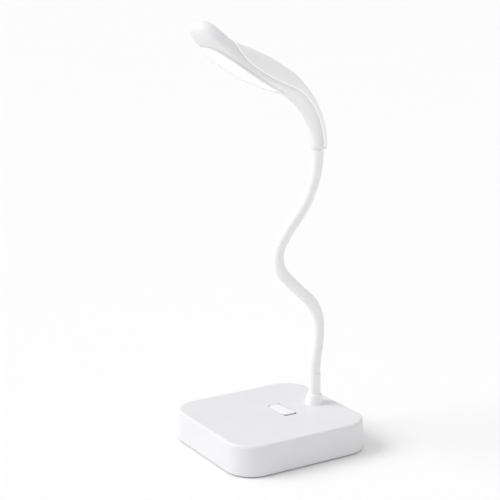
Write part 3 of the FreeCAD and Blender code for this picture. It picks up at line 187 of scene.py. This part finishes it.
def mesh_piece(name, points, faces, slot, body, sharp=None, finish=None):
    """A smooth piece from points in metres; finish names a look other than its slot's."""
    mesh = bpy.data.meshes.new(name)
    mesh.from_pydata([tuple(p) for p in points], [], faces)
    mesh.validate()
    mesh.update()
    build = bmesh.new()
    build.from_mesh(mesh)
    bmesh.ops.remove_doubles(build, verts=build.verts, dist=WELD)
    bmesh.ops.dissolve_degenerate(build, dist=WELD, edges=build.edges)
    bmesh.ops.recalc_face_normals(build, faces=build.faces)
    build.to_mesh(mesh)
    build.free()
    for polygon in mesh.polygons:
        polygon.use_smooth = True
    if sharp is not None:
        mesh.set_sharp_from_angle(angle=math.radians(sharp))
    obj = bpy.data.objects.new(name, mesh)
    bpy.context.scene.collection.objects.link(obj)
    mesh.materials.append(MATERIALS[finish or slot])
    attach(obj, body)
    return obj


def grid_faces(rows, columns, closed):
    """Quads between successive rows of points; closed joins each row's last point to its first."""
    faces = []
    last = columns if closed else columns - 1
    for r in range(rows - 1):
        for c in range(last):
            d = (c + 1) % columns
            faces.append((r * columns + c, r * columns + d, (r + 1) * columns + d, (r + 1) * columns + c))
    return faces


# ---------------------------------------------------------------- neck

NECK_Y = 43.8
COLLAR_TOP = 34.6
FERRULE_TOP = 52.2
# Length of each arc and its turn in degrees, from the ferrule to the head.
NECK_ARCS = [(21.0, 11.0), (23.0, -16.0), (26.0, -44.0), (30.0, 5.0),
             (32.0, 77.0), (20.0, 9.0), (30.0, -20.0), (29.0, -22.0)]
SLEEVE_RADIUS = 4.75
SKIN_IN_STEM = 3.0


class NeckLine:
    """The neck's centre line in the plane X = 0, in millimetres from the collar's rim."""

    def __init__(self):
        self.parts = []
        start, lean, place = Vector((0.0, NECK_Y, COLLAR_TOP)), 0.0, 0.0
        straight = FERRULE_TOP - COLLAR_TOP
        self.parts.append((place, straight, start, lean, 0.0))
        start, place = start + Vector((0.0, 0.0, straight)), straight
        self.joints = []
        for length, turn in NECK_ARCS:
            turn = math.radians(turn)
            self.parts.append((place, length, start, lean, turn))
            bend = length / turn
            start = start + Vector((0.0, bend * (math.cos(lean) - math.cos(lean + turn)),
                                    bend * (math.sin(lean + turn) - math.sin(lean))))
            lean += turn
            place += length
            self.joints.append(place)
        self.length = place
        self.end = start

    def at(self, place):
        """Centre and direction at a distance along the line."""
        for begin, length, start, lean, turn in self.parts:
            if place <= begin + length + 1e-9:
                break
        share = (place - begin) / length
        angle = lean + turn * share
        if abs(turn) < 1e-9:
            centre = start + Vector((0.0, 0.0, place - begin))
        else:
            bend = length / turn
            centre = start + Vector((0.0, bend * (math.cos(lean) - math.cos(angle)),
                                     bend * (math.sin(angle) - math.sin(lean))))
        return centre, Vector((0.0, math.sin(angle), math.cos(angle)))


NECK = NeckLine()
NECK_BODIES = ["base"] + ["neck_link_%d" % k for k in range(1, 7)] + ["head"]
NECK_SLEEVES = ["base"] + [str(k) for k in range(1, 7)] + ["head"]
CAP_ROWS = 8
RING_POINTS = 48
# How much smaller a length's lower cap is than its sleeve, so that it hides inside the length below.
INNER_CAP = 0.05


def ring(centre, along, radius):
    """Points of a circle across the neck's line."""
    across = Vector((1.0, 0.0, 0.0))
    normal = along.cross(across)
    return [(centre + (across * math.cos(angle) + normal * math.sin(angle)) * radius) * MM
            for angle in (2 * math.pi * c / RING_POINTS for c in range(RING_POINTS))]


def cap_rings(place, direction, radius):
    """Rings of a half ball about a hinge, so that two lengths of the sleeve stay closed when it bends."""
    centre, along = NECK.at(place)
    rings = []
    for r in range(1, CAP_ROWS + 1):
        angle = math.pi / 2 * r / CAP_ROWS
        reach = along * (direction * radius * math.sin(angle))
        rings.append(ring(centre + reach, along, max(1e-3, radius * math.cos(angle))))
    return rings


def sleeve_pieces():
    """The soft sleeve, in one length per neck link, each rounded about the hinges at its ends."""
    ends = [0.0] + NECK.joints[:-1] + [NECK.length + SKIN_IN_STEM]
    for index, body in enumerate(NECK_BODIES):
        low, high = ends[index], ends[index + 1]
        rows = int(round(high - low))
        rings = [ring(*NECK.at(low + (high - low) * r / rows), SLEEVE_RADIUS) for r in range(rows + 1)]
        if body != "base":
            rings = cap_rings(low, -1, SLEEVE_RADIUS - INNER_CAP)[::-1] + rings
        if body != "head":
            rings = rings + cap_rings(high, 1, SLEEVE_RADIUS)
        points = [point for row in rings for point in row]
        faces = grid_faces(len(rings), RING_POINTS, True)
        piece = mesh_piece("neck_skin_%d" % (index + 1), points, faces, "sleeve_white", body)
        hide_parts("neck_sleeve_%s" % NECK_SLEEVES[index])


sleeve_pieces()


# ---------------------------------------------------------------- rocker

ROCKER_PIVOT = Vector((0.0, 12.0, 22.0))
ROCKER_REST = math.radians(2.6)
ROCKER_HALF_LENGTH, ROCKER_HALF_WIDTH = 13.3, 5.3
# Height of the cap's ends above the pivot, and how much lower its middle is.
ROCKER_RISE, ROCKER_DIP = 4.8, 0.5
ROCKER_CORNER = 0.3
ROCKER_POINTS = 160
# Inset from the outline and drop below the top, from the hidden wall over the lip to the middle.
ROCKER_RINGS = [(5.3, 6.0), (0.9, 6.0), (0.7, 2.0), (0.15, 1.3), (0.04, 0.9), (0.0, 0.6), (0.06, 0.38),
                (0.2, 0.2), (0.45, 0.07), (0.9, 0.0), (1.8, 0.0), (2.8, 0.0), (4.0, 0.0), (5.3, 0.0)]


def rocker_cap():
    """The rocker's visible part: a dished paddle with soft rims and an undercut below its lip."""
    turn = Matrix.Rotation(-ROCKER_REST, 3, "Y")
    points = []
    for inset, drop in ROCKER_RINGS:
        for c in range(ROCKER_POINTS):
            angle = 2 * math.pi * (c + 0.5) / ROCKER_POINTS
            x = (ROCKER_HALF_LENGTH - inset) * power(math.cos(angle), ROCKER_CORNER)
            y = (ROCKER_HALF_WIDTH - inset) * power(math.sin(angle), ROCKER_CORNER)
            z = ROCKER_RISE - ROCKER_DIP * (1 - (x / ROCKER_HALF_LENGTH) ** 2) - drop
            points.append((ROCKER_PIVOT + turn @ Vector((x, y, z))) * MM)
    faces = grid_faces(len(ROCKER_RINGS), ROCKER_POINTS, True)
    piece = mesh_piece("rocker_cap", points, faces, "rocker_white", "rocker")
    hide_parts("rocker")


rocker_cap()


# ---------------------------------------------------------------- lamp head

HEAD_FOOT = NECK.end
STEM_RADIUS = 5.0
STEM_STRAIGHT = 3.0
STEM_BEND = 50.9
STEM_TURN = math.radians(70.3)
LEAF_BEND = 204.5
UPPER_SQUARENESS = 2.15
COVER_PROUD, COVER_THICK, COVER_EDGE = 0.4, 1.2, 0.3
HEAD_LOW, COVER_LOW, COVER_HIGH = 2.6, 4.4, 131.0
# The stem's rounded lower rim: height above its foot and inset.
FOOT_RIM = [(0.0, 0.6), (0.25, 0.2), (0.5, 0.05)]
HEAD_POINTS = 96
LIP_RADIUS, LIP_STEP, LIP_POINTS = 0.45, 0.5, 12
# Place, half width, crown height, widest point's height, lower squareness and seam height.
HEAD_TABLE = [
    (0.0, 5.0, 13.0, 5.0, 2.0, 7.4),
    (24.0, 8.7, 12.9, 4.8, 2.0, 6.0),
    (47.0, 13.6, 14.6, 4.6, 2.4, 5.7),
    (67.0, 19.1, 19.4, 4.6, 3.4, 5.5),
    (86.0, 21.0, 21.6, 4.6, 4.0, 5.6),
    (106.0, 20.6, 20.1, 4.7, 4.0, 6.2),
    (120.0, 19.8, 17.1, 5.0, 3.7, 8.9),
    (132.0, 19.1, 15.6, 5.6, 3.1, 17.6),
]
# Beyond the table the head closes in a rounded nose; a higher power makes a blunter curve.
NOSE_START, HEAD_END, TIP_GAP, NOSE_ROWS = 132.0, 157.9, 0.02, 30
NOSE_HALF_POWER, NOSE_CROWN_POWER, NOSE_UNDER_POWER = 2.5, 5, 4
NOSE_SOFTENING = 0.8


class HeadLine:
    """The head's underside in the plane X = 0, from the lower end to the nose, in millimetres."""

    def __init__(self):
        self.start = HEAD_FOOT - Vector((0.0, STEM_RADIUS, 0.0))
        self.mid = STEM_STRAIGHT + STEM_BEND * STEM_TURN
        self.first = self.start + Vector((0.0, -STEM_BEND, STEM_STRAIGHT))
        leaf = self.first + self.normal(STEM_TURN) * STEM_BEND
        self.second = leaf + self.normal(STEM_TURN) * LEAF_BEND

    @staticmethod
    def normal(lean):
        return Vector((0.0, math.cos(lean), math.sin(lean)))

    def lean(self, place):
        if place <= STEM_STRAIGHT:
            return 0.0
        if place <= self.mid:
            return (place - STEM_STRAIGHT) / STEM_BEND
        return STEM_TURN - (place - self.mid) / LEAF_BEND

    def point(self, place, x=0.0, height=0.0):
        lean = self.lean(place)
        normal = self.normal(lean)
        if place <= STEM_STRAIGHT:
            foot = self.start + Vector((0.0, 0.0, place))
        elif place <= self.mid:
            foot = self.first + normal * STEM_BEND
        else:
            foot = self.second - normal * LEAF_BEND
        return (foot + Vector((x, 0.0, 0.0)) + normal * height) * MM


LINE = HeadLine()


def table_value(place, column):
    """Smooth (monotone cubic) reading of one column of the head's table."""
    xs = [row[0] for row in HEAD_TABLE]
    ys = [row[column] for row in HEAD_TABLE]
    count = len(xs)
    slopes = [(ys[i + 1] - ys[i]) / (xs[i + 1] - xs[i]) for i in range(count - 1)]
    place = min(place, xs[-1])
    i = 0
    while i < count - 2 and place > xs[i + 1]:
        i += 1

    def tangent(k):
        if k in (0, count - 1):
            return slopes[min(k, count - 2)]
        before, after = slopes[k - 1], slopes[k]
        if before * after <= 0:
            return 0.0
        return (xs[k + 1] - xs[k - 1]) / ((xs[k + 1] - xs[k]) / before + (xs[k] - xs[k - 1]) / after)

    step = xs[i + 1] - xs[i]
    t = (place - xs[i]) / step
    leave, arrive = tangent(i) * step, tangent(i + 1) * step
    return ((2 * t ** 3 - 3 * t ** 2 + 1) * ys[i] + (t ** 3 - 2 * t ** 2 + t) * leave
            + (-2 * t ** 3 + 3 * t ** 2) * ys[i + 1] + (t ** 3 - t ** 2) * arrive)


def section(place, grow=0.0):
    """Half width, crown, widest point's height, lowest point's height and lower squareness."""
    half, crown, middle, squareness = [table_value(place, column) for column in (1, 2, 3, 4)]
    bottom = 0.0
    crown -= COVER_PROUD
    if place > NOSE_START:
        share = min(1.0, (place - NOSE_START) / (HEAD_END - NOSE_START))
        half *= (1 - share ** NOSE_HALF_POWER) ** 0.5
        crown = middle + (crown - middle) * (1 - share ** NOSE_CROWN_POWER) ** 0.5
        bottom = middle - middle * (1 - share ** NOSE_UNDER_POWER) ** 0.5
        squareness -= share * NOSE_SOFTENING
    return half + grow, crown + grow, middle, bottom, squareness


def outline(place, angle, grow=0.0):
    """x and height on the head's cross section; angle 90 degrees is the crown."""
    half, crown, middle, bottom, squareness = section(place, grow)
    c, s = math.cos(angle), math.sin(angle)
    if s >= 0:
        e = 2 / UPPER_SQUARENESS
        return half * power(c, e), middle + (crown - middle) * power(s, e)
    e = 2 / squareness
    return half * power(c, e), middle + (middle - bottom) * power(s, e)


def underside(place, x):
    """Height of the head's lower surface at a distance from its middle."""
    half, _, middle, bottom, squareness = section(place)
    share = min(1.0, abs(x) / half)
    return middle - (middle - bottom) * (1 - share ** squareness) ** (1 / squareness)


def nose_places(start, end, count):
    """Places that crowd together towards the nose."""
    return [start + (end - start) * math.sin(math.pi / 2 * i / count) for i in range(count + 1)]


PANEL_START, PANEL_END, PANEL_HALF = 65.0, 137.0, 17.2
PANEL_SKEW, PANEL_BLUNTNESS = 1.35, 0.25
# How far the lit sheet stands off the head's underside, and how far its edge is turned in.
PANEL_PROUD, PANEL_TUCK = 0.12, 0.5
RIM_WIDE, RIM_PROUD = 1.9, 1.7


def panel_half(share):
    """Half width of the light panel at a share of its length."""
    if share <= 0 or share >= 1:
        return 0.0
    return PANEL_HALF * math.sin(math.pi * share ** PANEL_SKEW) ** PANEL_BLUNTNESS


def head_body():
    """The head's closed skin, from the stem's rim to the tip of the nose."""
    rows = [(HEAD_LOW + up, -inset) for up, inset in FOOT_RIM]
    first = math.ceil(rows[-1][0])
    rows += [(float(place), 0.0) for place in range(first, int(NOSE_START))]
    rows += [(place, 0.0) for place in nose_places(NOSE_START, HEAD_END - TIP_GAP, NOSE_ROWS)]
    points = []
    for place, grow in rows:
        for c in range(HEAD_POINTS):
            x, height = outline(place, 2 * math.pi * c / HEAD_POINTS, grow)
            points.append(LINE.point(place, x, height))
    faces = grid_faces(len(rows), HEAD_POINTS, True)
    tip, foot = len(points), len(points) + 1
    points.append(LINE.point(HEAD_END, 0.0, table_value(HEAD_END, 3)))
    points.append(LINE.point(HEAD_LOW, 0.0, STEM_RADIUS))
    last = (len(rows) - 1) * HEAD_POINTS
    for c in range(HEAD_POINTS):
        faces.append((last + c, last + (c + 1) % HEAD_POINTS, tip))
    for c in range(HEAD_POINTS):
        faces.append((c, (c + 1) % HEAD_POINTS, foot))
    shell = mesh_piece("head_shell", points, faces, "shell_white", "head", sharp=50, finish="head_white")
    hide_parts("head_body")


def seam_angle(place):
    """Angle on the cover's outline at the seam's height."""
    seam = table_value(place, 5)
    crown = table_value(place, 2)
    middle = table_value(place, 3)
    share = (seam - middle) / (crown - middle)
    if share >= 1:
        return math.pi / 2
    return math.asin(power(max(0.0, share), UPPER_SQUARENESS / 2))


def head_cover():
    """The back cover: a thin shell over the crown, down to the seam on both sides."""
    rows, across = 140, 40
    points = []
    places = []
    for r in range(rows + 1):
        share = r / rows
        place = COVER_LOW + (COVER_HIGH - COVER_LOW) * share
        if seam_angle(place) >= math.pi / 2 - 1e-3:
            break
        places.append(place)
    for place in places:
        first = seam_angle(place)
        for c in range(across + 1):
            angle = first + (math.pi - 2 * first) * c / across
            x, height = outline(place, angle, COVER_PROUD)
            points.append(LINE.point(place, x, height))
    faces = grid_faces(len(places), across + 1, False)
    cover = mesh_piece("head_back", points, faces, "cover_white", "head", sharp=60)
    thick = cover.modifiers.new("thick", "SOLIDIFY")
    thick.thickness = COVER_THICK * MM
    thick.offset = -1.0
    edge = cover.modifiers.new("edge", "BEVEL")
    edge.width = COVER_EDGE * MM
    edge.segments = 3
    edge.limit_method = "ANGLE"
    edge.angle_limit = math.radians(50)
    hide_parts("head_back_cover")


def cover_lip():
    """A rolled edge along the cover's seam on both sides and across the crown, with a faint glow that
    paints the highlight along the seam.
    """
    path = []
    place = COVER_LOW
    while place < COVER_HIGH and seam_angle(place) < math.pi / 2 - 1e-3:
        path.append((place, seam_angle(place)))
        place += LIP_STEP
    path += [(place, math.pi - angle) for place, angle in reversed(path)]
    points = []
    centres = []
    for place, angle in path:
        x, height = outline(place, angle, COVER_PROUD)
        centres.append(LINE.point(place, x, height))
    for i, centre in enumerate(centres):
        along = (centres[min(i + 1, len(centres) - 1)] - centres[max(i - 1, 0)]).normalized()
        side = along.cross(Vector((0.0, 0.6, 0.8))).normalized()
        other = along.cross(side)
        for c in range(LIP_POINTS):
            angle = 2 * math.pi * c / LIP_POINTS
            points.append(centre + (side * math.cos(angle) + other * math.sin(angle)) * LIP_RADIUS * MM)
    faces = grid_faces(len(centres), LIP_POINTS, True)
    # The lip's finish is a painted highlight: a faint glow along the seam.
    mesh_piece("head_back_lip", points, faces, "cover_white", "head", finish="seam_painted_highlight")


def light_panel():
    """The lit sheet: it follows the head's underside, its edge turned in."""
    rows, across = 96, 48
    points = []
    for r in range(rows + 1):
        share = (1 - math.cos(math.pi * r / rows)) / 2
        place = PANEL_START + (PANEL_END - PANEL_START) * share
        half = panel_half(share)
        for c in range(across + 1):
            x = -half * math.cos(math.pi * c / across)
            on_edge = r in (0, rows) or c in (0, across)
            proud = -PANEL_TUCK if on_edge else PANEL_PROUD
            points.append(LINE.point(place, x, underside(place, x) - proud))
    faces = grid_faces(rows + 1, across + 1, False)
    sheet = mesh_piece("light_panel", points, faces, "diffuser_milk", "head", sharp=40)
    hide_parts("diffuser")


def panel_rim():
    """A low rounded rim that frames the lit sheet."""
    steps, around = 200, 16
    points = []
    for i in range(steps):
        turn = 2 * math.pi * i / steps
        share = (1 - math.cos(turn)) / 2
        side = 1 if turn < math.pi else -1
        place = PANEL_START + (PANEL_END - PANEL_START) * share
        reach = panel_half(share)
        towards_end = (share - 0.5) * 2
        for c in range(around):
            angle = 2 * math.pi * c / around
            out = RIM_WIDE * (1 + math.cos(angle)) / 2
            x = side * (reach + out * (1 - towards_end ** 4))
            along = place + out * towards_end ** 3
            points.append(LINE.point(along, x, underside(along, x) - RIM_PROUD * math.sin(angle)))
    faces = grid_faces(steps, around, True)
    last = (steps - 1) * around
    faces += [(last + c, last + (c + 1) % around, (c + 1) % around, c) for c in range(around)]
    mesh_piece("light_panel_rim", points, faces, "shell_white", "head", finish="head_white")


head_body()
head_cover()
cover_lip()
light_panel()
panel_rim()


# ---------------------------------------------------------------- stage

FLOOR_SIZE, FLOOR_SCALE = 30.0, 3.0
FLOOR_GREY, FLOOR_GLOW, FLOOR_ROUGH = (0.895, 0.905), 0.018, 0.9
BACKDROP_STRENGTH = 0.68
# Name, strength, width in degrees and the direction in which each light stands.
SUNS = [("key", 1.72, 38, (-0.36, -0.65, 0.669)),
        ("fill", 0.15, 80, (0.13, 0.73, 0.669))]


def floor_material():
    """Plain light paper with faint unevenness."""
    material, nodes, links, shader = node_material("floor")
    coords = nodes.new("ShaderNodeTexCoord")
    noise = nodes.new("ShaderNodeTexNoise")
    noise.inputs["Scale"].default_value = FLOOR_SCALE
    links.new(coords.outputs["Object"], noise.inputs["Vector"])
    tint = nodes.new("ShaderNodeMapRange")
    tint.inputs["To Min"].default_value = FLOOR_GREY[0]
    tint.inputs["To Max"].default_value = FLOOR_GREY[1]
    links.new(noise.outputs["Fac"], tint.inputs["Value"])
    links.new(tint.outputs["Result"], shader.inputs["Base Color"])
    shader.inputs["Roughness"].default_value = FLOOR_ROUGH
    shader.inputs["Emission Color"].default_value = (1.0, 1.0, 1.0, 1.0)
    shader.inputs["Emission Strength"].default_value = FLOOR_GLOW
    return material


def floor_sheet():
    material = floor_material()
    mesh = bpy.data.meshes.new("floor")
    corners = [(x * FLOOR_SIZE, y * FLOOR_SIZE, 0) for x, y in ((-1, -1), (1, -1), (1, 1), (-1, 1))]
    mesh.from_pydata(corners, [], [(0, 1, 2, 3)])
    floor = bpy.data.objects.new("floor", mesh)
    mesh.materials.append(material)
    bpy.context.scene.collection.objects.link(floor)


def backdrop():
    world = bpy.data.worlds.new("studio")
    world.use_nodes = True
    background = world.node_tree.nodes["Background"]
    background.inputs["Color"].default_value = (1.0, 1.0, 1.0, 1.0)
    background.inputs["Strength"].default_value = BACKDROP_STRENGTH
    bpy.context.scene.world = world


def suns():
    for name, energy, spread, towards in SUNS:
        sun = bpy.data.lights.new(name, "SUN")
        sun.energy = energy
        sun.angle = math.radians(spread)
        lamp = bpy.data.objects.new(name, sun)
        lamp.rotation_euler = Vector(towards).to_track_quat("Z", "Y").to_euler()
        bpy.context.scene.collection.objects.link(lamp)


floor_sheet()
backdrop()
suns()


# ---------------------------------------------------------------- camera

# Fitted to the photo: angles in degrees, lengths in metres, and the focal length in the photo's pixels.
VIEW_AZIMUTH, VIEW_ELEVATION, VIEW_DISTANCE = 58.5961, 13.3906, 1.050
VIEW_ACROSS, VIEW_UPWARD = -0.0164399, 0.1586843
FOCAL_PIXELS, PHOTO_PIXELS = 1270.547, 500.0
SENSOR_WIDTH = 36.0


def camera():
    """The camera of the photo; back points from the lamp towards it."""
    azimuth, elevation = math.radians(VIEW_AZIMUTH), math.radians(VIEW_ELEVATION)
    back = Vector((math.sin(azimuth) * math.cos(elevation), -math.cos(azimuth) * math.cos(elevation),
                   math.sin(elevation)))
    right = Vector((math.cos(azimuth), math.sin(azimuth), 0.0))
    up = back.cross(right)
    position = right * VIEW_ACROSS + up * VIEW_UPWARD + back * VIEW_DISTANCE
    data = bpy.data.cameras.new("camera")
    data.sensor_width = SENSOR_WIDTH
    data.lens = FOCAL_PIXELS / PHOTO_PIXELS * SENSOR_WIDTH
    data.clip_start, data.clip_end = 0.05, 100.0
    view = bpy.data.objects.new("camera", data)
    view.matrix_world = Matrix((
        (right.x, up.x, back.x, position.x),
        (right.y, up.y, back.y, position.y),
        (right.z, up.z, back.z, position.z),
        (0.0, 0.0, 0.0, 1.0)))
    bpy.context.scene.collection.objects.link(view)
    bpy.context.scene.camera = view
    bpy.context.scene.view_settings.view_transform = "Standard"


camera()
